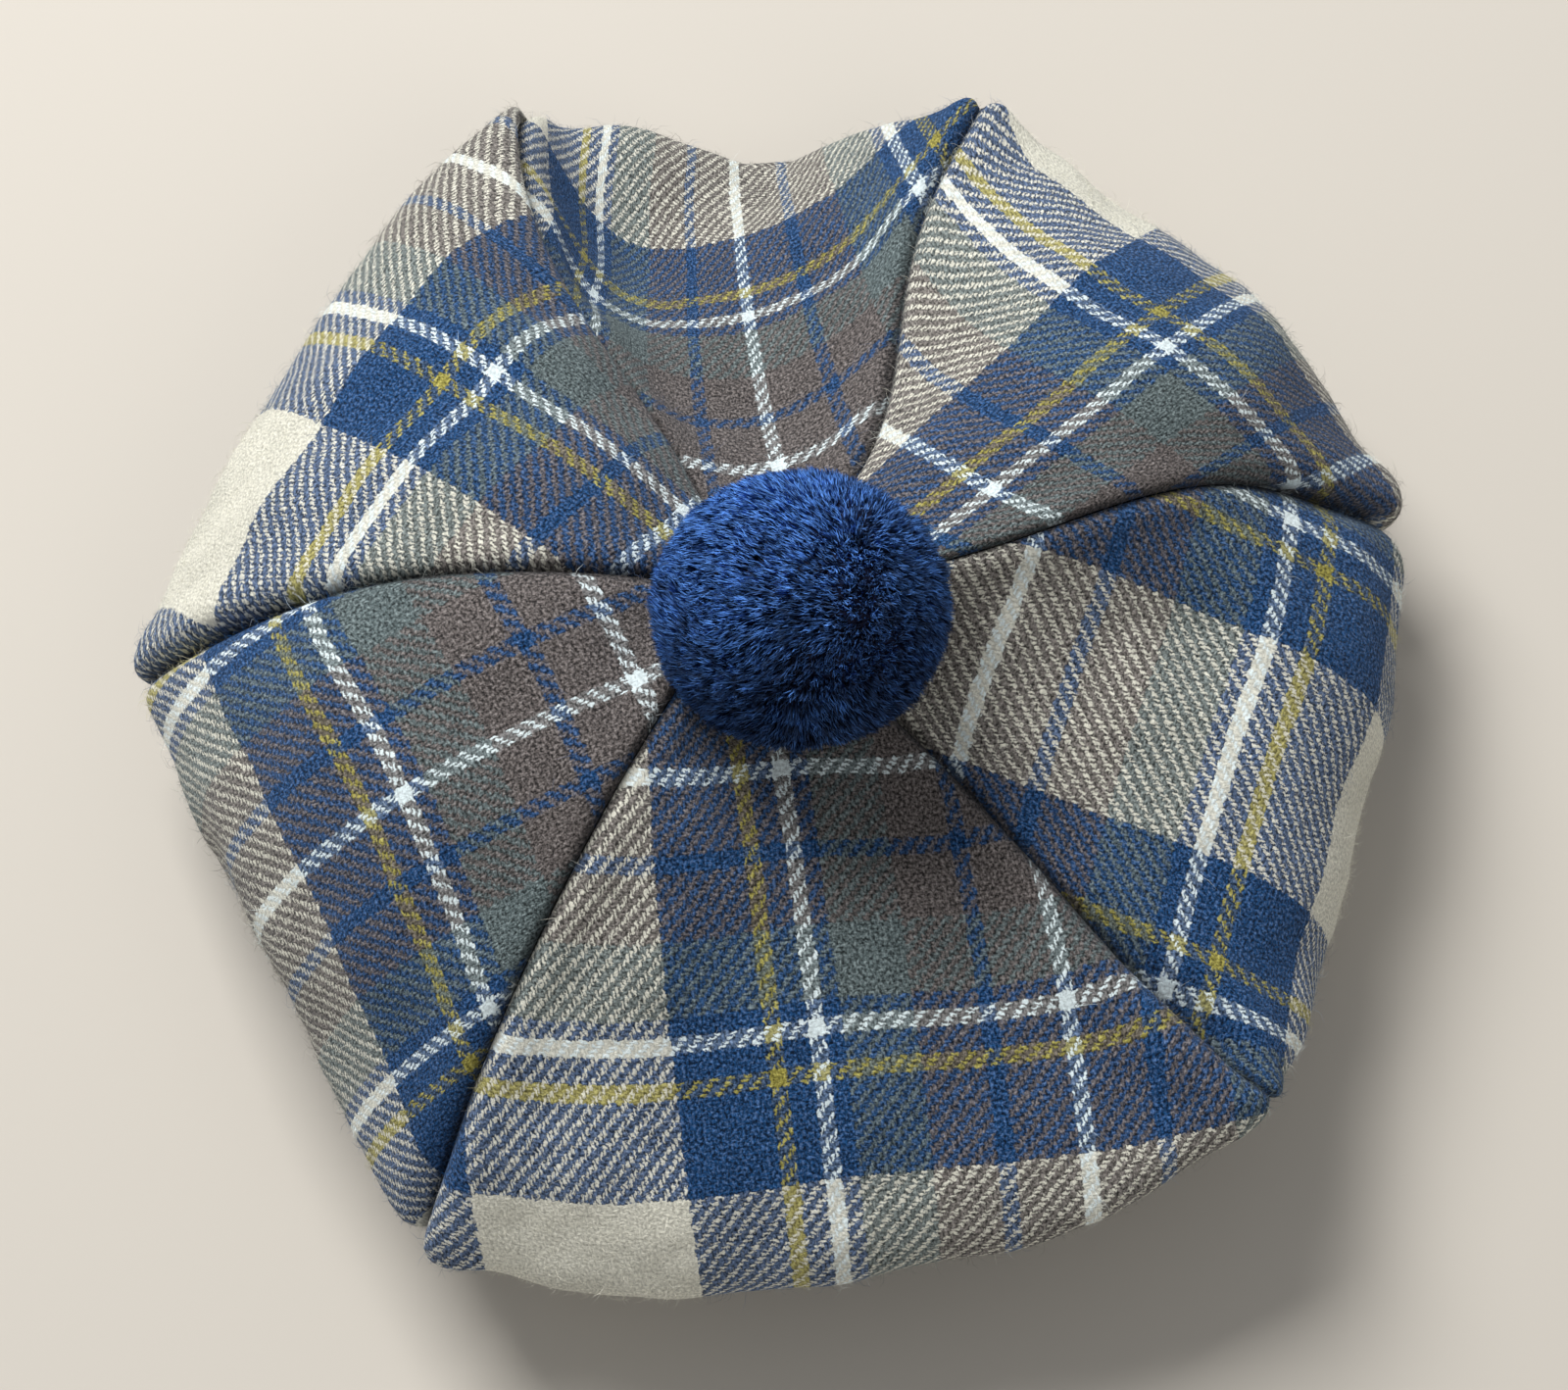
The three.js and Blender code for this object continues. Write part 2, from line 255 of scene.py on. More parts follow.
# %% Flat cloth coordinates
PITCH = 0.90           # mm from one thread to the next, both ways

# start across and along in mm, turn in degrees, then pull per metre: shear, warp, weft
CUT_COLUMNS = ("u", "v", "turn", "shear", "warp", "weft")
CUTS = {
    "panel_back_right": (76.9, -49.0, 7.7, 0.6, -2.5, -2.8),
    "panel_back": (13.6, -39.3, 3.6, 3.8, 4.7, -9.4),
    "panel_back_left": (59.6, -21.4, -0.2, 0.6, -0.6, 0.6),
    "panel_front_left": (-10.2, -30.4, 0.3, 0.3, 1.8, -1.1),
    "panel_front": (-54.6, -37.5, -2.0, 0.3, -0.3, 0.7),
    "panel_front_right": (102.1, -51.8, -1.1, -0.1, -0.3, -0.6),
}


def lay_flat(p):
    """Across: arc length from the middle column. Along: the sum of sqrt(dL^2 - du^2) down the
    middle and both edges, mixed with s^2 between them."""
    middle = COLUMNS // 2
    step = np.linalg.norm(np.diff(p, axis=1), axis=2)
    across = np.concatenate([np.zeros((len(p), 1)), np.cumsum(step, axis=1)], axis=1)
    across -= across[:, middle : middle + 1]
    length = np.linalg.norm(np.diff(p, axis=0), axis=2)
    drift = np.diff(across, axis=0)
    down = np.sqrt(np.maximum(length**2 - drift**2, (0.3 * length) ** 2))
    start = np.hypot(p[:1, :, 0], p[:1, :, 1])
    along = np.concatenate([start, start + np.cumsum(down, axis=0)])
    edge = np.where(across_at < 0, along[:, :1], along[:, -1:])
    centre = along[:, middle : middle + 1]
    return across, centre + (edge - centre) * across_at**2


def thread_numbers(name, across, along):
    """The gore's flat coordinates, turned and pulled as its row says, counted in threads."""
    c = dict(zip(CUT_COLUMNS, CUTS[name]))
    t = math.radians(c["turn"])
    u = c["u"] + math.cos(t) * across - math.sin(t) * along
    u += (c["shear"] * across * along + c["warp"] * across**2) / 1000
    v = c["v"] + math.sin(t) * across + math.cos(t) * along + c["weft"] * across**2 / 1000
    return np.stack([u, v], axis=-1) / PITCH


flats = [lay_flat(p) for p in surfaces]
threads = [thread_numbers(name, *flat) for name, flat in zip(GORES, flats)]
print("gore widths laid flat, mm:", [round(float(np.ptp(f[0]))) for f in flats])

# %% [markdown]
# ## Seams, tucks and small waves
# A sewn seam pulls both edges down into a narrow groove with a soft shoulder on each side.
# Near the points the slack cloth tucks deeper, and there one gore laps over its neighbour.
# Between seams wool never lies perfectly smooth, so a few long low waves are added. All of
# it is movement along the surface's own normal, so it follows any shape.

# %% Relief functions
rng = np.random.default_rng(17)
GROOVE = 1.5           # mm that a sewn seam sinks
SHOULDER = 0.75        # mm that the cloth beside it rises
WAVE = 0.75            # height of the long waves between seams, mm
RIPPLE = 0.12          # height of the short ones, mm

# seam, where the tuck begins and is full (0 centre, 1 rim), depth, its half width on the gore
# before and after the seam, how far each of those shoulders lifts, how far it laps, in mm, and
# where it fades and is gone
TUCK_COLUMNS = ("seam", "begins", "full", "depth", "before", "after", "lift_before", "lift_after", "lap",
                "fades", "gone")
TUCKS = [dict(zip(TUCK_COLUMNS, row)) for row in (
    ("right", 0.62, 0.92, 5.5, 6.0, 2.6, 1.0, 3.0, -3.0, 1.05, 1.5),
    ("back_right", 0.55, 0.9, 1.5, 3.0, 3.0, 0.8, 1.2, 0.0, 1.05, 1.5),
    ("back_left", 0.35, 0.7, 2.0, 4.0, 2.4, 0.0, 1.8, 0.0, 1.05, 1.5),
    ("left", 0.45, 0.85, 3.0, 2.4, 4.5, 2.4, 0.4, 1.6, 1.05, 1.5),
    ("front_left", 0.7, 0.97, 3.5, 4.5, 2.8, 0.8, 1.8, -1.0, 1.05, 1.5),
    ("front_right", 0.55, 0.82, 8.5, 3.4, 5.5, 3.0, 1.4, 2.0, 0.85, 1.0),
)]
tucks = {list(SEAMS).index(row["seam"]): row for row in TUCKS}


def ramp(x, low, high):
    """0 below low, 1 above high, and 3x^2 - 2x^3 between."""
    x = np.clip((x - low) / (high - low), 0, 1)
    return x * x * (3 - 2 * x)


def bell(x, centre, width):
    """exp(-((x - centre) / width)^2)."""
    return np.exp(-(((x - centre) / width) ** 2))


def waves(across, along, longest, shortest, count):
    """A sum of plane waves with seeded lengths, directions and starts, about -1 to 1."""
    total = np.zeros(across.shape)
    for length in np.geomspace(longest, shortest, count):
        direction, start = rng.uniform(0, 2 * math.pi, 2)
        phase = across * math.cos(direction) + along * math.sin(direction)
        total += np.cos(2 * math.pi * phase / length + start)
    return total / math.sqrt(count)


def seam_relief(k, side, away, half):
    """Rise beside one seam, and the lap across it; away is the distance from the seam in mm."""
    room = np.clip(half / 8, 0, 1)
    rise = room * (SHOULDER * bell(away, 4.5, 3.6) - GROOVE * bell(away, 0, 1.3))
    lap = np.zeros(away.shape)
    t = tucks[k]
    amount = ramp(along_at, t["begins"], t["full"]) * (1 - ramp(along_at, t["fades"], t["gone"]))
    wide = t[side]
    rise -= amount * t["depth"] * bell(away, 0, wide)
    rise += amount * t["lift_" + side] * bell(away, wide + 5, 6)
    if (t["lap"] > 0) == (side == "before"):
        lap = amount * t["lap"] * bell(away, 3.5, 4)
    return rise, lap


# %% [markdown]
# ## Where two gores meet
# Two gores meet along one line, so they have to agree on which way is out there, and neither
# may pass through the other. The two surfaces' normals are added to give one normal for the
# seam, and points close to it are kept on their own side.

# %% Normals that neighbouring gores share
def normals_of(p):
    """The cross product of the steps along and across, which points out of the hat."""
    n = np.cross(np.gradient(p, axis=0), np.gradient(p, axis=1))
    return n / np.linalg.norm(n, axis=-1, keepdims=True)


raw_normals = [normals_of(p) for p in surfaces]
seam_normals = []
for k in range(6):
    shared = raw_normals[k][:, 0] + raw_normals[k - 1][:, -1]
    seam_normals.append(shared / np.linalg.norm(shared, axis=1, keepdims=True))
seam_across = []
for k in range(6):
    sideways = np.cross(seam_normals[k], np.gradient(seam_ribs[k], axis=0))
    seam_across.append(sideways / np.linalg.norm(sideways, axis=1, keepdims=True))


def keep_clear(p, k, side):
    """Push points straight away from seam k's wall until they are half the gap from it."""
    off = ((p - seam_ribs[k][:, None]) * seam_across[k][:, None]).sum(axis=-1) * side
    push = np.maximum(SEAM_GAP / 2 - off, 0) * (np.abs(off) < 6)
    return p + (side * push)[..., None] * seam_across[k][:, None]


# %% [markdown]
# ## Two skins
# Cloth has a thickness. The outer skin is the gore's surface moved along its normals by the
# seam's groove, the tucks and the waves, and the inner skin lies one cloth's thickness below.

# %% Skins of each gore
def gore_skins(k):
    """Outer and inner skin of gore k as grids, and the distance from the nearest seam."""
    p = surfaces[k]
    across, along = flats[k]
    nxt = (k + 1) % 6
    n = raw_normals[k].copy()
    weight = (np.abs(across_at) ** 6)[..., None]
    shared = np.where((across_at < 0)[..., None], seam_normals[k][:, None], seam_normals[nxt][:, None])
    n = n * (1 - weight) + shared * weight
    n /= np.linalg.norm(n, axis=-1, keepdims=True)
    half = np.ptp(across, axis=1)[:, None] / 2
    from_own = across - across[:, :1]
    from_next = across[:, -1:] - across
    rise_own, lap_own = seam_relief(k, "after", from_own, half)
    rise_next, lap_next = seam_relief(nxt, "before", from_next, half)
    nearest = np.minimum(from_own, from_next)
    calm = 1 - bell(nearest, 0, 7)
    flat_under = 1 - ramp(along_at, 1.3, 1.9)
    rise = rise_own + rise_next
    rise += calm * flat_under * WAVE * waves(across, along, 70, 24, 14)
    rise += calm * flat_under * RIPPLE * waves(across, along, 16, 7, 14)
    rise *= ramp(2 - along_at, 0, 0.15)
    outer = p + n * rise[..., None]
    outer += seam_across[k][:, None] * lap_own[..., None]
    outer += seam_across[nxt][:, None] * lap_next[..., None]
    n2 = normals_of(outer)
    n2 = n2 * (1 - weight) + shared * weight
    n2 /= np.linalg.norm(n2, axis=-1, keepdims=True)
    inner = outer - n2 * CLOTH
    skins = []
    for skin in (outer, inner):
        edge = np.abs(across_at) > 0.85
        clear_own = keep_clear(skin, k, 1)
        clear_next = keep_clear(skin, nxt, -1)
        skin = np.where((edge & (across_at < 0))[..., None], clear_own, skin)
        skin = np.where((edge & (across_at > 0))[..., None], clear_next, skin)
        skins.append(skin)
    return skins[0], skins[1], nearest, n2


skins = [gore_skins(k) for k in range(6)]
print("outer skins' top, mm:", [round(float(s[0][..., 2].max()), 1) for s in skins])

# %% [markdown]
# ## From grids to closed meshes
# A sheet of cloth is two skins and the narrow wall round its edge. The faces are found from
# the grid's own numbering, so no face is written by hand, and every one points outwards.

# %% Mesh helpers
def grid_quads(rows, columns, start=0):
    """Corners of all the cells of a grid whose points are numbered row by row."""
    j, i = np.meshgrid(np.arange(rows - 1), np.arange(columns - 1), indexing="ij")
    a = (start + j * columns + i).ravel()
    return np.stack([a, a + columns, a + columns + 1, a + 1], axis=1)


def edge_quads(rim, count):
    """A wall between a ring of point numbers on the outer skin and the same on the inner."""
    after = np.roll(rim, -1)
    return np.stack([rim, after, after + count, rim + count], axis=1)


def border(rows, columns):
    """Numbers of a grid's border points, in the order that makes its walls face outwards."""
    n = np.arange(rows * columns).reshape(rows, columns)
    return np.concatenate([n[0, :-1], n[:-1, -1], n[-1, :0:-1], n[:0:-1, 0]])


def mesh_piece(name, points, faces):
    """A new object at the origin from points in mm round the band's axis, smooth shaded."""
    mesh = bpy.data.meshes.new(name)
    mesh.from_pydata(((points + axis) * MM).tolist(), [], faces.tolist())
    mesh.polygons.foreach_set("use_smooth", np.ones(len(mesh.polygons), bool))
    mesh.update()
    piece = bpy.data.objects.new(name, mesh)
    bpy.context.scene.collection.objects.link(piece)
    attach(piece, "root")
    return piece


def set_uv(piece, per_point):
    """The UV map 'threads': two thread numbers at every corner."""
    mesh = piece.data
    corner = np.empty(len(mesh.loops), int)
    mesh.loops.foreach_get("vertex_index", corner)
    layer = mesh.uv_layers.new(name="threads")
    layer.uv.foreach_set("vector", per_point[corner].astype(np.float32).ravel())


def set_value(piece, name, per_point):
    """A float attribute with one value for every point."""
    attribute = piece.data.attributes.new(name, "FLOAT", "POINT")
    attribute.data.foreach_set("value", per_point.astype(np.float32))


# %% [markdown]
# ## The gores
# Each gore becomes one closed sheet. It carries its thread numbers as a UV map and the distance from the seam
# as an attribute, and its size and area when it is laid flat are worked out and printed.

# %% Build the six gores
def grid_area(p):
    """Area of a grid: half the cross product of every cell's diagonals."""
    d1 = p[1:, 1:] - p[:-1, :-1]
    d2 = p[1:, :-1] - p[:-1, 1:]
    return float(np.linalg.norm(np.cross(d1, d2), axis=-1).sum() / 2)


def build_gore(k, name):
    outer, inner, nearest, _ = skins[k]
    rows, columns = outer.shape[:2]
    count = rows * columns
    points = np.concatenate([outer.reshape(-1, 3), inner.reshape(-1, 3)])
    top = grid_quads(rows, columns)
    bottom = grid_quads(rows, columns, count)[:, ::-1]
    walls = edge_quads(border(rows, columns), count)
    piece = mesh_piece("cloth_" + name, points, np.concatenate([top, bottom, walls]))
    uv = threads[k].reshape(-1, 2)
    set_uv(piece, np.concatenate([uv, uv]))
    set_value(piece, "from_seam", np.concatenate([nearest.ravel(), np.full(count, 20.0)]))
    across, along = flats[k]
    size = (np.ptp(across) * MM, (along.max() - along.min()) * MM)
    area = grid_area(surfaces[k]) * MM * MM
    area = min(area, size[0] * size[1])
    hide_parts(name)
    print(piece.name, "flat size", [round(x, 3) for x in size], "area", round(area, 4))
    return piece


gores = [build_gore(k, name) for k, name in enumerate(GORES)]

# %% [markdown]
# ## The headband
# A strip of the same cloth, folded so that both long edges are soft, is joined to a ring. Its
# section is carried round the head opening, and it waves a little where the slack crown pulls
# on it.

# %% Headband ring
BAND_STEPS = 360
BAND_SECTION = 40
BAND_ROUND = 1.15      # radius of the folded edges


def band_section():
    """A long flat oval on edge: two straight sides joined by half circles."""
    t = np.linspace(0, 1, BAND_SECTION // 2 + 1)[:-1]
    straight = BAND_HEIGHT - 2 * BAND_ROUND
    arc = np.linspace(0, math.pi, 9)[:-1]
    r_mid = BAND_RADIUS - BAND_THICK / 2
    half = BAND_THICK / 2
    up = np.stack([np.full(len(t), r_mid + half), BAND_ROUND + straight * t], axis=1)
    over = np.stack([r_mid + half * np.cos(arc), BAND_HEIGHT - BAND_ROUND + BAND_ROUND * np.sin(arc)], axis=1)
    down = np.stack([np.full(len(t), r_mid - half), BAND_HEIGHT - BAND_ROUND - straight * t], axis=1)
    foot = np.stack([r_mid - half * np.cos(arc), BAND_ROUND - BAND_ROUND * np.sin(arc)], axis=1)
    return np.concatenate([up, over, down, foot])


section = band_section()
turn = np.linspace(0, 2 * math.pi, BAND_STEPS, endpoint=False)[:, None]
radius = section[None, :, 0] - 0.25 + 0.2 * np.sin(7 * turn + 1) + 0.12 * np.sin(13 * turn + 4)
height = np.broadcast_to(section[None, :, 1], radius.shape)
band_points = np.stack([radius * np.cos(turn), radius * np.sin(turn), height], axis=-1)
n = len(section)
j, i = np.meshgrid(np.arange(BAND_STEPS), np.arange(n), indexing="ij")
a = (j * n + i).ravel()
b = (((j + 1) % BAND_STEPS) * n + i).ravel()
c = (((j + 1) % BAND_STEPS) * n + (i + 1) % n).ravel()
d = (j * n + (i + 1) % n).ravel()
band_quads = np.stack([a, b, c, d], axis=1)
headband = mesh_piece("cloth_headband", band_points.reshape(-1, 3), band_quads)
band_uv = np.stack([np.broadcast_to(BAND_RADIUS * turn, radius.shape), height], axis=-1) / PITCH
set_uv(headband, band_uv.reshape(-1, 2))
set_value(headband, "from_seam", np.full(band_points.shape[0] * n, 20.0))
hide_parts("headband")
print("headband: points", band_points.shape)

# %% [markdown]
# ## Loose wool on the surface
# Brushed wool has a short nap. It hardly shows on the face of the cloth, but along every
# outline it makes a soft halo. Each fibre is a thin bent ribbon that starts on the cloth and
# leans its own way; it carries its root's thread numbers, so it takes its root's colour.

# %% Nap fibres
def ribbons(name, roots, bends, tips, widths, normals=None):
    """One narrow strip for each fibre: two points at the root, two at the bend, one tip. With
    normals given, the strips are shaded as the surface that they stand on."""
    line = tips - roots
    side = np.cross(line, rng.normal(size=line.shape))
    side /= np.linalg.norm(side, axis=1, keepdims=True) + 1e-9
    half = side * widths[:, None] / 2
    points = np.stack([roots - half, roots + half, bends - half, bends + half, tips], axis=1)
    first = 5 * np.arange(len(roots))[:, None]
    quads = first + np.array([[0, 1, 3, 2]])
    ends = first + np.array([[2, 3, 4]])
    faces = quads.tolist() + ends.tolist()
    mesh = bpy.data.meshes.new(name)
    mesh.from_pydata(((points.reshape(-1, 3) + axis) * MM).tolist(), [], faces)
    mesh.update()
    if normals is not None:
        mesh.polygons.foreach_set("use_smooth", np.ones(len(mesh.polygons), bool))
        mesh.normals_split_custom_set_from_vertices(np.repeat(normals, 5, axis=0).tolist())
    piece = bpy.data.objects.new(name, mesh)
    bpy.context.scene.collection.objects.link(piece)
    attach(piece, "root")
    return piece


NAP_PER_GORE = 10000
NAP_WIDTH = 0.045
HIDDEN_FROM = 1.55     # underneath, from here on, the nap is ten times thinner


def mixed(grid, j, i, down, right):
    """A grid's value inside its cells (j, i), mixed from the four corners."""
    first = grid[j, i] * (1 - down) + grid[j + 1, i] * down
    second = grid[j, i + 1] * (1 - down) + grid[j + 1, i + 1] * down
    return first * (1 - right) + second * right


nap_roots, nap_normals, nap_threads = [], [], []
for k in range(6):
    outer, _, _, normals = skins[k]
    down, right = outer[1:, :-1] - outer[:-1, :-1], outer[:-1, 1:] - outer[:-1, :-1]
    cell = np.linalg.norm(np.cross(down, right), axis=-1)
    cell[along_at[:-1, 0] > HIDDEN_FROM] *= 0.1
    chosen = rng.choice(cell.size, NAP_PER_GORE, p=(cell / cell.sum()).ravel())
    jj, ii = np.unravel_index(chosen, cell.shape)
    fy, fx = rng.random((2, NAP_PER_GORE, 1))
    nap_roots.append(mixed(outer, jj, ii, fy, fx))
    nap_normals.append(mixed(normals, jj, ii, fy, fx))
    nap_threads.append(mixed(threads[k], jj, ii, fy, fx))
nap_roots = np.concatenate(nap_roots)
nap_normals = np.concatenate(nap_normals)
nap_threads = np.concatenate(nap_threads)
count = len(nap_roots)
lean = rng.normal(size=(count, 3))
lean -= (lean * nap_normals).sum(axis=1, keepdims=True) * nap_normals
lean /= np.linalg.norm(lean, axis=1, keepdims=True)
stray = rng.random((count, 1)) ** 6
length = 0.9 + 0.9 * rng.random((count, 1)) + 4.0 * stray
up = 0.25 + 0.6 * rng.random((count, 1))
nap_bends = nap_roots + length * 0.5 * (up * nap_normals + 0.5 * lean)
nap_tips = nap_roots + length * (0.75 * up * nap_normals + 0.9 * lean)
nap = ribbons("wool_nap", nap_roots - 0.1 * nap_normals, nap_bends, nap_tips,
              NAP_WIDTH + 0.035 * rng.random(count))
set_uv(nap, np.repeat(nap_threads, 5, axis=0))
print("nap fibres:", count)

# %% [markdown]
# ## The pompom
# A pompom is hundreds of yarn ends tied at the middle and sheared to a ball. A core in the pile's deep
# colour, painted shade, fills the inside, and over it stand thousands of thin ends that gather in small tufts
# and are combed a little to one side. Directions come from a Fibonacci spiral, which spreads points evenly
# over a ball.

# %% Pompom shape
POMPOM_HALF = 27.0     # half the ball's height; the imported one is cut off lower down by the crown
ball = np.array([
    (pompom_high.x - pompom_low.x) / 2,
    (pompom_high.y - pompom_low.y) / 2,
    POMPOM_HALF * MM,
]) / MM
ball_centre = np.array([
    (pompom_high.x + pompom_low.x) / 2,
    (pompom_high.y + pompom_low.y) / 2,
    pompom_high.z - POMPOM_HALF * MM,
]) / MM - axis

# height of the crown under the pompom, on a grid of 2 mm cells
HEIGHT_CELL = 2.0
HEIGHT_HALF = 60
crown_height = np.full((2 * HEIGHT_HALF, 2 * HEIGHT_HALF), 0.0)
for outer, _, _, _ in skins:
    q = outer[: TOP_ROWS].reshape(-1, 3)
    ij = np.floor(q[:, :2] / HEIGHT_CELL).astype(int) + HEIGHT_HALF
    ok = (ij >= 0).all(axis=1) & (ij < 2 * HEIGHT_HALF).all(axis=1)
    np.maximum.at(crown_height, (ij[ok, 0], ij[ok, 1]), q[ok, 2])


def crown_at(points):
    """Height of the cloth below each point."""
    ij = np.clip(np.floor(points[:, :2] / HEIGHT_CELL).astype(int) + HEIGHT_HALF, 0, 2 * HEIGHT_HALF - 1)
    return crown_height[ij[:, 0], ij[:, 1]]


def spiral(n):
    """n directions: z falls evenly from 1 to -1 while the angle turns by the golden angle."""
    i = np.arange(n) + 0.5
    z = 1 - 2 * i / n
    a = i * math.pi * (3 - math.sqrt(5))
    r = np.sqrt(1 - z * z)
    return np.stack([r * np.cos(a), r * np.sin(a), z], axis=1)


# %% [markdown]
# ## The core
# The core is the imported pile below the cut ends. It is a slightly lumpy ball that flattens where it sits on
# the crown, and it stands in for the imported model's pompom. It is coloured as painted shade inside the
# pile.

# %% Pompom core
CORE = 0.92
core_rows, core_columns = 48, 96
lat = np.linspace(-math.pi / 2, math.pi / 2, core_rows + 2)[1:-1, None]
lon = np.linspace(0, 2 * math.pi, core_columns, endpoint=False)[None, :]
core = np.stack([np.cos(lat) * np.cos(lon), np.cos(lat) * np.sin(lon), np.sin(lat) + 0 * lon], axis=-1)
core = core.reshape(-1, 3)
core = np.concatenate([core, [[0, 0, -1], [0, 0, 1]]])
lumps = sum(np.sin(core @ rng.normal(0, 9, 3) + rng.uniform(0, 6)) for _ in range(10)) / 10
core_points = ball_centre + core * ball * (CORE + 0.03 * lumps)[:, None]
core_points[:, 2] = np.maximum(core_points[:, 2], crown_at(core_points) + 1.2)
j, i = np.meshgrid(np.arange(core_rows - 1), np.arange(core_columns), indexing="ij")
a = (j * core_columns + i).ravel()
b = (j * core_columns + (i + 1) % core_columns).ravel()
core_faces = np.stack([a, b, b + core_columns, a + core_columns], axis=1).tolist()
i = np.arange(core_columns)
h = (i + 1) % core_columns
south, north = core_rows * core_columns, core_rows * core_columns + 1
last = (core_rows - 1) * core_columns
core_faces += np.stack([np.full_like(i, south), h, i], axis=1).tolist()
core_faces += np.stack([np.full_like(i, north), last + i, last + h], axis=1).tolist()
core_mesh = bpy.data.meshes.new("pompom_core")
core_mesh.from_pydata(((core_points + axis) * MM).tolist(), [], core_faces)
core_mesh.polygons.foreach_set("use_smooth", np.ones(len(core_mesh.polygons), bool))
core_mesh.update()
pompom_core = bpy.data.objects.new("pompom_core", core_mesh)
bpy.context.scene.collection.objects.link(pompom_core)
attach(pompom_core, "root")
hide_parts("pompom")
print("pompom core points:", len(core_points))

# %% [markdown]
# ## The cut pile
# Each end leaves the core, is pulled towards the middle of its tuft and is brushed a little
# sideways. The ends are flat ribbons, so they are given the ball's own normals, shaken from
# tuft to tuft; light then falls on the pile as it falls on a real ball of wool.

# %% Pompom pile
ENDS = 100000
TUFTS = 2200
BRUSHED = (-0.9, -0.3, 0.3)     # which way the ends lie
LAID_AND_LIT = (-0.35, 0.6, 0.72)       # the side where they lie most and that faces the key lamp; the ends there get painted light in their tint
PILE_ROOT = CORE - 0.05
PILE_WIDTH = 0.2


def comb(directions):
    """A smooth sideways field on the ball: which way the ends lean at each place."""
    out = np.zeros(directions.shape)
    for scale in (1.6, 2.4, 4.0, 6.5):
        for _ in range(3):
            k = rng.normal(0, scale, 3)
            out += np.sin(directions @ k + rng.uniform(0, 6))[:, None] * rng.normal(0, 1, 3)
    return out / 3.5


ends = spiral(ENDS) + rng.normal(0, 0.012, (ENDS, 3))
ends /= np.linalg.norm(ends, axis=1, keepdims=True)
tuft_dirs = spiral(TUFTS) + rng.normal(0, 0.03, (TUFTS, 3))
tuft_dirs /= np.linalg.norm(tuft_dirs, axis=1, keepdims=True)
tuft = np.concatenate([(part @ tuft_dirs.T).argmax(axis=1) for part in np.array_split(ends, 40)])
pull = tuft_dirs[tuft] - ends
gather = 0.15 + 0.5 * rng.random((ENDS, 1))
field = comb(ends)
field -= (field * ends).sum(axis=1, keepdims=True) * ends
tuft_long = rng.normal(0, 0.016, TUFTS)[tuft]
reach = 0.985 + tuft_long + rng.normal(0, 0.012, ENDS)
brushed = np.array(BRUSHED) - (ends @ np.array(BRUSHED))[:, None] * ends
brushed *= ramp(ends @ np.array(LAID_AND_LIT), -0.3, 0.9)[:, None]
pile_roots = ball_centre + ends * ball * PILE_ROOT
tip_dirs = ends + gather * pull + 0.04 * field + 0.06 * brushed + rng.normal(0, 0.022, ends.shape)
tip_dirs /= np.linalg.norm(tip_dirs, axis=1, keepdims=True)
pile_tips = ball_centre + tip_dirs * ball * reach[:, None]
mid_dirs = ends + 0.35 * (tip_dirs - ends)
pile_bends = ball_centre + mid_dirs * ball * (0.4 * PILE_ROOT + 0.6 * reach)[:, None]
clear = (pile_tips[:, 2] > crown_at(pile_tips) + 0.6) & (pile_bends[:, 2] > crown_at(pile_bends) + 0.6)
# painted light: ends facing the key lamp get a higher tint, so the top of the pompom is painted brighter and
# its underside darker; the random terms are real differences of dye
facing_light = ends @ np.array(LAID_AND_LIT)
tint = 0.42 + 0.36 * facing_light + 0.22 * rng.normal(size=ENDS) + 0.18 * rng.normal(size=TUFTS)[tuft]
tint = np.clip(tint, 0, 1.2)
shade = ends + 0.35 * rng.normal(size=(TUFTS, 3))[tuft] + 0.3 * rng.normal(size=ends.shape)
shade /= np.linalg.norm(shade, axis=1, keepdims=True)
PILE_PARTS = 2
order = np.flatnonzero(clear)
for part in range(PILE_PARTS):
    pick = order[part::PILE_PARTS]
    pile = ribbons("pompom_pile_%d" % (part + 1), pile_roots[pick], pile_bends[pick], pile_tips[pick],
                   PILE_WIDTH + 0.2 * rng.random(len(pick)), shade[pick])
    set_value(pile, "tint", np.repeat(tint[pick], 5))
    set_value(pile, "to_tip", np.tile([0.0, 0.0, 0.5, 0.5, 1.0], len(pick)))
    print(pile.name, "ends:", len(pick))

# %% [markdown]
# ## Node helpers
# Materials are graphs. These small helpers only save typing: one adds a node, one sets an
# input from a number or a socket, one does arithmetic.

# %% Helpers for shader graphs
def add(tree, kind, inputs=None, **settings):
    """A node of that kind, with settings on the node and values or links on its inputs."""
    node = tree.nodes.new(kind)
    for key, value in settings.items():
        setattr(node, key, value)
    for key, value in (inputs or {}).items():
        socket = node.inputs[key]
        if isinstance(value, bpy.types.NodeSocket):
            tree.links.new(value, socket)
        else:
            socket.default_value = value
    return node


def calc(tree, operation, a, b=0.0, c=0.0):
    """Math node's result."""
    return add(tree, "ShaderNodeMath", {0: a, 1: b, 2: c}, operation=operation).outputs[0]


def new_group(name, inputs, outputs):
    """A shader node group with named sockets: (name, socket type, default or None)."""
    tree = bpy.data.node_groups.new(name, "ShaderNodeTree")
    for label, kind, default in inputs:
        socket = tree.interface.new_socket(label, in_out="INPUT", socket_type=kind)
        if default is not None:
            socket.default_value = default
    for label, kind in outputs:
        tree.interface.new_socket(label, in_out="OUTPUT", socket_type=kind)
    return tree, tree.nodes.new("NodeGroupInput"), tree.nodes.new("NodeGroupOutput")


def use_group(tree, group, inputs):
    """That group as a node in a material."""
    node = tree.nodes.new("ShaderNodeGroup")
    node.node_tree = group
    for key, value in inputs.items():
        if isinstance(value, bpy.types.NodeSocket):
            tree.links.new(value, node.inputs[key])
        else:
            node.inputs[key].default_value = value
    return node


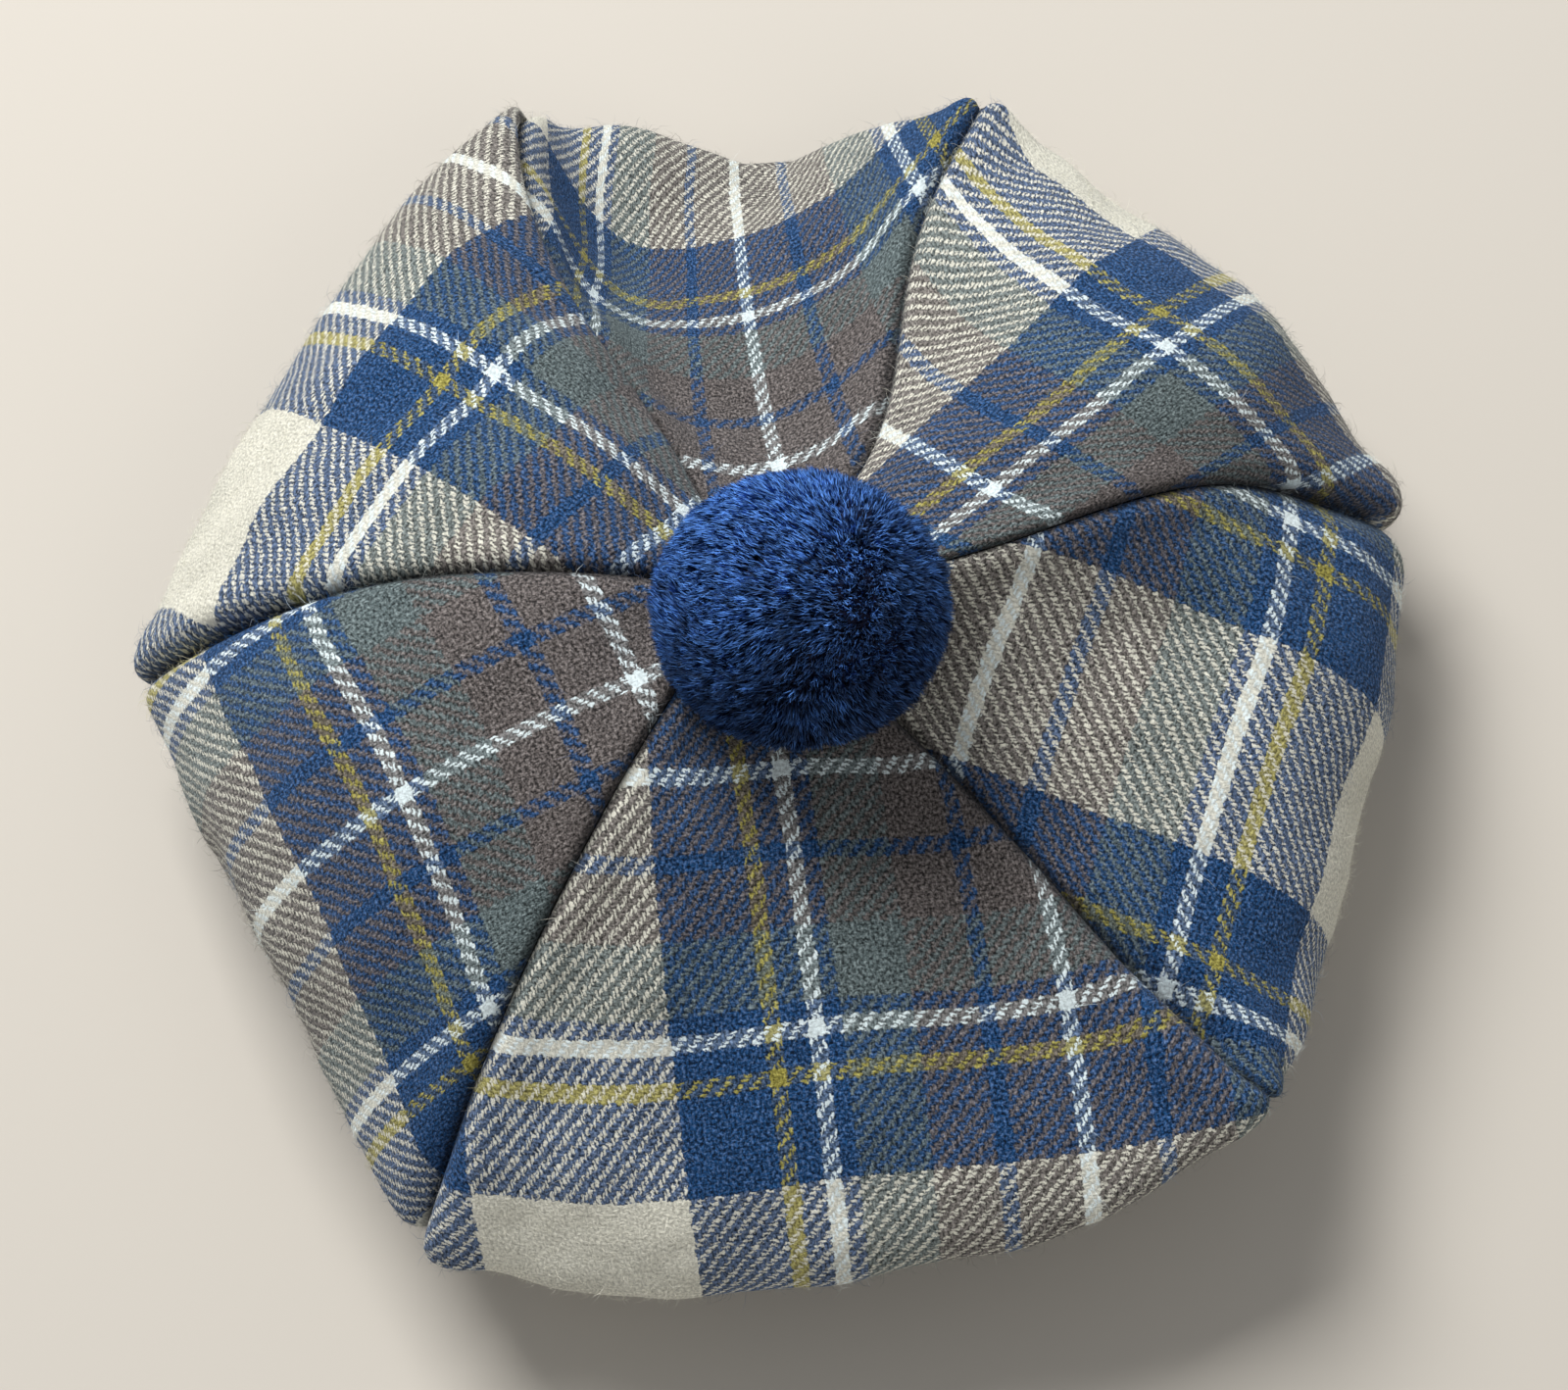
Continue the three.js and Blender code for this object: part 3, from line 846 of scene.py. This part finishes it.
FLOAT, VECTOR, COLOUR = "NodeSocketFloat", "NodeSocketVector", "NodeSocketColor"

# %% [markdown]
# ## The sett
# A check is one list of coloured threads, the sett, mirrored at both ends and used for warp
# and weft alike. The thread's number is folded into the half repeat and looked up on a
# stepped colour ramp, so the list below is the whole pattern.

# %% Sett group
WHITE = (0.72, 0.82, 0.85)
CREAM = (0.67, 0.66, 0.575)
BLUE = (0.009, 0.056, 0.166)
BROWN = (0.118, 0.103, 0.099)
GREEN = (0.104, 0.137, 0.142)
YELLOW = (0.31, 0.28, 0.06)

# first thread of each stripe, counted from the middle of the narrow white line
SETT = (
    (0, WHITE), (2, BROWN), (17, BLUE), (21, BROWN), (36, GREEN), (53, BLUE),
    (57, WHITE), (61, BLUE), (67, YELLOW), (71, BLUE), (93, CREAM),
)
HALF_REPEAT = 120.0

sett_tree, sett_in, sett_out = new_group(
    "sett", [("Thread", FLOAT, 0.0)], [("Color", COLOUR)])
mirrored = calc(sett_tree, "PINGPONG", sett_in.outputs["Thread"], HALF_REPEAT)
place = calc(sett_tree, "DIVIDE", mirrored, HALF_REPEAT)
stripes = add(sett_tree, "ShaderNodeValToRGB", {"Fac": place})
stripes.color_ramp.interpolation = "CONSTANT"
for index, (first, colour) in enumerate(SETT):
    stops = stripes.color_ramp.elements
    stop = stops[index] if index < 2 else stops.new(first / HALF_REPEAT)
    stop.position = first / HALF_REPEAT
    stop.color = (*colour, 1)
sett_tree.links.new(stripes.outputs["Color"], sett_out.inputs["Color"])
print("sett: stripes in half a repeat", len(SETT))

# %% [markdown]
# ## The twill
# In a two-and-two twill each warp thread goes over two weft threads and under two, and its
# neighbour does the same one thread later, which draws diagonals. Thread numbers, rounded
# down, say which cell a point is in; their sum modulo four says which thread is on top. The
# wool is brushed, so the numbers are first shaken by a fine noise. Fluff from dark threads
# creeps over pale ones, so a pale thread shows only round the crown of its float.

# %% Twill group
twill_tree, twill_in, twill_out = new_group(
    "brushed_twill",
    [("Threads", VECTOR, None), ("Shake", FLOAT, 0.5), ("Fleck", FLOAT, 0.5), ("Blend", FLOAT, 0.12)],
    [("Color", COLOUR), ("Height", FLOAT)])
shaker = add(twill_tree, "ShaderNodeTexNoise",
             {"Vector": twill_in.outputs["Threads"], "Scale": 0.55, "Detail": 3.0, "Roughness": 0.75},
             noise_dimensions="2D")
centred = add(twill_tree, "ShaderNodeVectorMath",
              {0: shaker.outputs["Color"], 1: (0.5, 0.5, 0.5)}, operation="SUBTRACT").outputs[0]
shift = add(twill_tree, "ShaderNodeVectorMath",
            {0: centred, "Scale": twill_in.outputs["Shake"]}, operation="SCALE").outputs[0]
shaken = add(twill_tree, "ShaderNodeVectorMath",
             {0: twill_in.outputs["Threads"], 1: shift}, operation="ADD").outputs[0]
split = add(twill_tree, "ShaderNodeSeparateXYZ", {0: shaken})
warp_at, weft_at = split.outputs["X"], split.outputs["Y"]
warp_number = calc(twill_tree, "FLOOR", warp_at)
weft_number = calc(twill_tree, "FLOOR", weft_at)
cell = calc(twill_tree, "FLOORED_MODULO", calc(twill_tree, "ADD", warp_number, weft_number), 4.0)
warp_on_top = calc(twill_tree, "LESS_THAN", cell, 1.5)
warp_colour = use_group(twill_tree, sett_tree, {"Thread": calc(twill_tree, "ADD", warp_number, 0.5)})
weft_colour = use_group(twill_tree, sett_tree, {"Thread": calc(twill_tree, "ADD", weft_number, 0.5)})


def thread_height(across, along, number):
    """Half a sine across the thread times half a sine along its float of two."""
    over = calc(twill_tree, "SINE", calc(twill_tree, "MULTIPLY", calc(twill_tree, "FRACT", across), math.pi))
    float_at = calc(twill_tree, "FLOORED_MODULO", calc(twill_tree, "ADD", along, number), 2.0)
    crown = calc(twill_tree, "SINE", calc(twill_tree, "MULTIPLY", float_at, math.pi / 2))
    return calc(twill_tree, "MULTIPLY", over, calc(twill_tree, "MULTIPLY_ADD", crown, 0.6, 0.4))


warp_height = thread_height(warp_at, weft_at, warp_number)
weft_height = thread_height(weft_at, warp_at, weft_number)
height = add(twill_tree, "ShaderNodeMix", {"Factor": warp_on_top, "A": weft_height, "B": warp_height})
top_yarn = add(twill_tree, "ShaderNodeMix",
               {"Factor": warp_on_top, 6: weft_colour.outputs["Color"], 7: warp_colour.outputs["Color"]},
               data_type="RGBA").outputs[2]
under_yarn = add(twill_tree, "ShaderNodeMix",
                 {"Factor": warp_on_top, 6: warp_colour.outputs["Color"], 7: weft_colour.outputs["Color"]},
                 data_type="RGBA").outputs[2]
top_pale = add(twill_tree, "ShaderNodeRGBToBW", {0: top_yarn}).outputs[0]
under_pale = add(twill_tree, "ShaderNodeRGBToBW", {0: under_yarn}).outputs[0]
paler = add(twill_tree, "ShaderNodeMapRange",
            {"Value": calc(twill_tree, "SUBTRACT", top_pale, under_pale), "From Max": 0.2}, clamp=True)
buried = add(twill_tree, "ShaderNodeMapRange",
             {"Value": height.outputs[0], "From Min": 0.22, "From Max": 0.68, "To Min": 1.0, "To Max": 0.0},
             interpolation_type="SMOOTHSTEP")
under_share = calc(twill_tree, "MULTIPLY", paler.outputs["Result"], buried.outputs["Result"])
under_share = calc(twill_tree, "MULTIPLY_ADD", under_share,
                   calc(twill_tree, "MULTIPLY_ADD", twill_in.outputs["Blend"], -2.0, 1.0),
                   twill_in.outputs["Blend"])
yarns = add(twill_tree, "ShaderNodeMix", {"Factor": under_share, 6: top_yarn, 7: under_yarn},
            data_type="RGBA")
fleck = add(twill_tree, "ShaderNodeTexNoise",
            {"Vector": twill_in.outputs["Threads"], "Scale": 1.15, "Detail": 2.0, "Roughness": 0.7},
            noise_dimensions="2D")
cloudy = add(twill_tree, "ShaderNodeTexNoise",
             {"Vector": twill_in.outputs["Threads"], "Scale": 0.06, "Detail": 2.0}, noise_dimensions="2D")
paleness = add(twill_tree, "ShaderNodeRGBToBW", {0: yarns.outputs[2]})
dark = calc(twill_tree, "SUBTRACT", 1.0, paleness.outputs[0])
dark = calc(twill_tree, "MULTIPLY", dark, dark)
lift = calc(twill_tree, "MULTIPLY", calc(twill_tree, "SUBTRACT", fleck.outputs["Fac"], 0.5),
            calc(twill_tree, "MULTIPLY", twill_in.outputs["Fleck"],
                 calc(twill_tree, "MULTIPLY_ADD", dark, 0.88, 0.12)))
cloud = calc(twill_tree, "MULTIPLY_ADD", cloudy.outputs["Fac"], 0.3, -0.15)
# painted shade: yarn colour darkens where the thread's height falls, in the gaps between threads and at the
# ends of floats, more on dark yarns; cloud and lift are random tone of the wool
depth = calc(twill_tree, "MULTIPLY_ADD", dark, 0.75, 0.25)
light = calc(twill_tree, "MULTIPLY_ADD", calc(twill_tree, "SUBTRACT", height.outputs[0], 0.5), depth, 1.0)
light = calc(twill_tree, "ADD", light, cloud)
light = calc(twill_tree, "MAXIMUM", calc(twill_tree, "ADD", light, lift), 0.15)
shaded = add(twill_tree, "ShaderNodeVectorMath", {0: yarns.outputs[2], "Scale": light}, operation="SCALE")
pale_fibre = calc(twill_tree, "MULTIPLY", calc(twill_tree, "MAXIMUM", lift, 0.0), 0.08)
pale = add(twill_tree, "ShaderNodeCombineXYZ", {0: pale_fibre, 1: pale_fibre, 2: pale_fibre})
shaded = add(twill_tree, "ShaderNodeVectorMath", {0: shaded.outputs[0], 1: pale.outputs[0]}, operation="ADD")
twill_tree.links.new(shaded.outputs[0], twill_out.inputs["Color"])
thread_relief = calc(twill_tree, "MULTIPLY", height.outputs[0], depth)
rough_height = calc(twill_tree, "MULTIPLY_ADD", fleck.outputs["Fac"], 0.9, thread_relief)
twill_tree.links.new(rough_height, twill_out.inputs["Height"])
print("twill nodes:", len(twill_tree.nodes))

# %% [markdown]
# ## Cloth materials
# The gores, the headband and the nap are one cloth, so they share the groups and differ only in their
# numbers: the gores are painted a little darker in the seams, as shade in the grooves, and the nap is a touch
# paler than the cloth it stands on.

# %% Make the cloth materials
def wool_material(name, shake, fleck, blend, bump, seam_painted_shade, tint):
    """Brushed twill from the 'threads' UV map, on a rough shader with a soft sheen."""
    material = bpy.data.materials.new(name)
    material.use_nodes = True
    tree = material.node_tree
    shader = tree.nodes["Principled BSDF"]
    uv = add(tree, "ShaderNodeUVMap", uv_map="threads")
    twill = use_group(tree, twill_tree,
                      {"Threads": uv.outputs["UV"], "Shake": shake, "Fleck": fleck, "Blend": blend})
    colour = twill.outputs["Color"]
    # painted shade: the colour is darkened within about 2 mm of a seam, where the groove lies
    if seam_painted_shade:
        seam = add(tree, "ShaderNodeAttribute", attribute_name="from_seam")
        near = add(tree, "ShaderNodeMapRange",
                   {"Value": seam.outputs["Fac"], "From Min": 0.3, "From Max": 2.2,
                    "To Min": 1 - seam_painted_shade, "To Max": 1.0}, clamp=True)
        colour = add(tree, "ShaderNodeVectorMath",
                     {0: colour, "Scale": near.outputs["Result"]}, operation="SCALE").outputs[0]
    colour = add(tree, "ShaderNodeVectorMath", {0: colour, 1: tint}, operation="MULTIPLY").outputs[0]
    tree.links.new(colour, shader.inputs["Base Color"])
    rough = calc(tree, "MULTIPLY_ADD", twill.outputs["Height"], 0.06, 0.86)
    tree.links.new(rough, shader.inputs["Roughness"])
    if bump:
        relief = add(tree, "ShaderNodeBump",
                     {"Height": twill.outputs["Height"], "Strength": 0.7, "Distance": bump * MM})
        tree.links.new(relief.outputs["Normal"], shader.inputs["Normal"])
    shader.inputs["Specular IOR Level"].default_value = 0.12
    shader.inputs["Sheen Weight"].default_value = 0.11
    shader.inputs["Sheen Roughness"].default_value = 0.5
    shader.inputs["Sheen Tint"].default_value = (0.75, 0.85, 1.0, 1)
    return material


gore_wool = wool_material("checked_wool", 2.5, 5.0, 0.1, 0.4, 0.72, (1, 1, 1))
band_wool = wool_material("headband_wool", 2.3, 4.0, 0.1, 0.34, 0, (0.97, 0.97, 0.97))
nap_wool = wool_material("nap_wool", 0.3, 0.3, 0.3, 0, 0, (1.15, 1.15, 1.15))
for piece in gores:
    piece.data.materials.append(gore_wool)
headband.data.materials.append(band_wool)
nap.data.materials.append(nap_wool)

# %% [markdown]
# ## Pompom material
# A cut pile is painted dark between its ends, as shade deep in the pile, and bright at their tips. No two
# ends took the dye alike, and the ends that face the key lamp are painted brighter, as lit. The tips' colour
# comes from two attributes of the ends themselves.

# %% Make the pompom materials
def yarn_material(name, deep, bright):
    """Deep colour at the root, painted shade deep in the pile, brighter at the tip, with each end's tint of
    dye and painted light.
    """
    material = bpy.data.materials.new(name)
    material.use_nodes = True
    tree = material.node_tree
    shader = tree.nodes["Principled BSDF"]
    along = add(tree, "ShaderNodeAttribute", attribute_name="to_tip")
    dye_and_light = add(tree, "ShaderNodeAttribute", attribute_name="tint")
    place = add(tree, "ShaderNodeTexCoord")
    cloud = add(tree, "ShaderNodeTexNoise",
                {"Vector": place.outputs["Object"], "Scale": 120.0, "Detail": 3.0})
    # painted shade and light: the colour runs from the dark root, painted shade deep in the pile, to the
    # bright tip; the tint attribute adds random dye and painted light on the side facing the key lamp
    share = calc(tree, "MULTIPLY", calc(tree, "POWER", along.outputs["Fac"], 1.05),
                 calc(tree, "MULTIPLY_ADD", dye_and_light.outputs["Fac"], 1.2, 0.12))
    share = calc(tree, "MULTIPLY", share, calc(tree, "MULTIPLY_ADD", cloud.outputs["Fac"], 0.8, 0.6))
    colour = add(tree, "ShaderNodeMix", {"Factor": share, 6: (*deep, 1), 7: (*bright, 1)}, data_type="RGBA")
    tree.links.new(colour.outputs[2], shader.inputs["Base Color"])
    shader.inputs["Roughness"].default_value = 0.7
    shader.inputs["Specular IOR Level"].default_value = 0.25
    shader.inputs["Sheen Weight"].default_value = 0.08
    shader.inputs["Sheen Tint"].default_value = (0.35, 0.55, 1.0, 1)
    return material


pile_yarn = yarn_material("pompom_yarn", (0.002, 0.004, 0.026), (0.12, 0.35, 1.0))
# the core has no to_tip attribute, so it takes the deep colour: painted shade inside the pile
pompom_core.data.materials.append(pile_yarn)
for piece in bpy.data.objects:
    if piece.name.startswith("pompom_pile"):
        piece.data.materials.append(pile_yarn)

# %% [markdown]
# ## Floor
# A plain pale floor under the hat, wide enough to fill the view.

# %% Floor
floor_mesh = bpy.data.meshes.new("floor")
FLOOR_HALF = 4.0
corners = [(-FLOOR_HALF, -FLOOR_HALF, 0), (FLOOR_HALF, -FLOOR_HALF, 0),
           (FLOOR_HALF, FLOOR_HALF, 0), (-FLOOR_HALF, FLOOR_HALF, 0)]
floor_mesh.from_pydata(corners, [], [(0, 1, 2, 3)])
floor = bpy.data.objects.new("floor", floor_mesh)
bpy.context.scene.collection.objects.link(floor)
floor_paint = bpy.data.materials.new("floor_paint")
floor_paint.use_nodes = True
paint = floor_paint.node_tree.nodes["Principled BSDF"]
paint.inputs["Base Color"].default_value = (0.61, 0.575, 0.52, 1)
paint.inputs["Roughness"].default_value = 0.9
floor_mesh.materials.append(floor_paint)


# %% [markdown]
# ## Lamps
# A square area lamp gives soft edges to its shadows. The key stands high, behind and to the
# left, so that the seams and the tucks throw shadows towards the camera.

# %% Lamps
def lamp(name, place, aim, size, power, colour):
    """A square area lamp that looks at aim."""
    data = bpy.data.lights.new(name, "AREA")
    data.size = size
    data.energy = power
    data.color = colour
    lamp_object = bpy.data.objects.new(name, data)
    lamp_object.location = place
    lamp_object.rotation_mode = "QUATERNION"
    lamp_object.rotation_quaternion = (Vector(place) - Vector(aim)).to_track_quat("Z", "Y")
    bpy.context.scene.collection.objects.link(lamp_object)
    return lamp_object


middle = (0.0, 0.0, 0.06)
lamp("key", (-0.6, 0.95, 1.5), middle, 0.95, 41.0, (1.0, 0.985, 0.96))
lamp("fill", (0.9, -1.2, 1.3), middle, 1.2, 4.5, (1.0, 0.94, 0.85))
world = bpy.data.worlds.new("room")
world.use_nodes = True
world.node_tree.nodes["Background"].inputs["Color"].default_value = (0.95, 0.97, 1.0, 1)
world.node_tree.nodes["Background"].inputs["Strength"].default_value = 0.28
bpy.context.scene.world = world
bpy.context.scene.view_settings.view_transform = "Standard"

# %% [markdown]
# ## Camera
# A camera's own axes are the columns of its rotation: right, up, and back from what it looks
# at. Back comes from the azimuth and the elevation, and the roll turns the other two.

# %% Camera
CAMERA_AZIMUTH = 6.2
CAMERA_ELEVATION = 67.2
CAMERA_ROLL = -7.15
CAMERA_DISTANCE = 0.815
CAMERA_AIM = (5.9, -10.4, 52.9)      # mm from the foot of the headband's axis
camera_data = bpy.data.cameras.new("camera")
camera_data.sensor_width = 36.0
camera_data.lens = 88.5
camera_data.clip_start = 0.01
camera = bpy.data.objects.new("camera", camera_data)
bpy.context.scene.collection.objects.link(camera)
azimuth = math.radians(CAMERA_AZIMUTH)
elevation = math.radians(CAMERA_ELEVATION)
roll = math.radians(CAMERA_ROLL)
back = Vector((math.sin(azimuth) * math.cos(elevation),
               -math.cos(azimuth) * math.cos(elevation), math.sin(elevation)))
level = Vector((math.cos(azimuth), math.sin(azimuth), 0))
upright = back.cross(level)
right = math.cos(roll) * level + math.sin(roll) * upright
upward = -math.sin(roll) * level + math.cos(roll) * upright
pose = Matrix((right, upward, back)).transposed().to_4x4()
pose.translation = Vector((np.array(CAMERA_AIM) + axis) * MM) + back * CAMERA_DISTANCE
camera.matrix_world = pose
bpy.context.scene.camera = camera
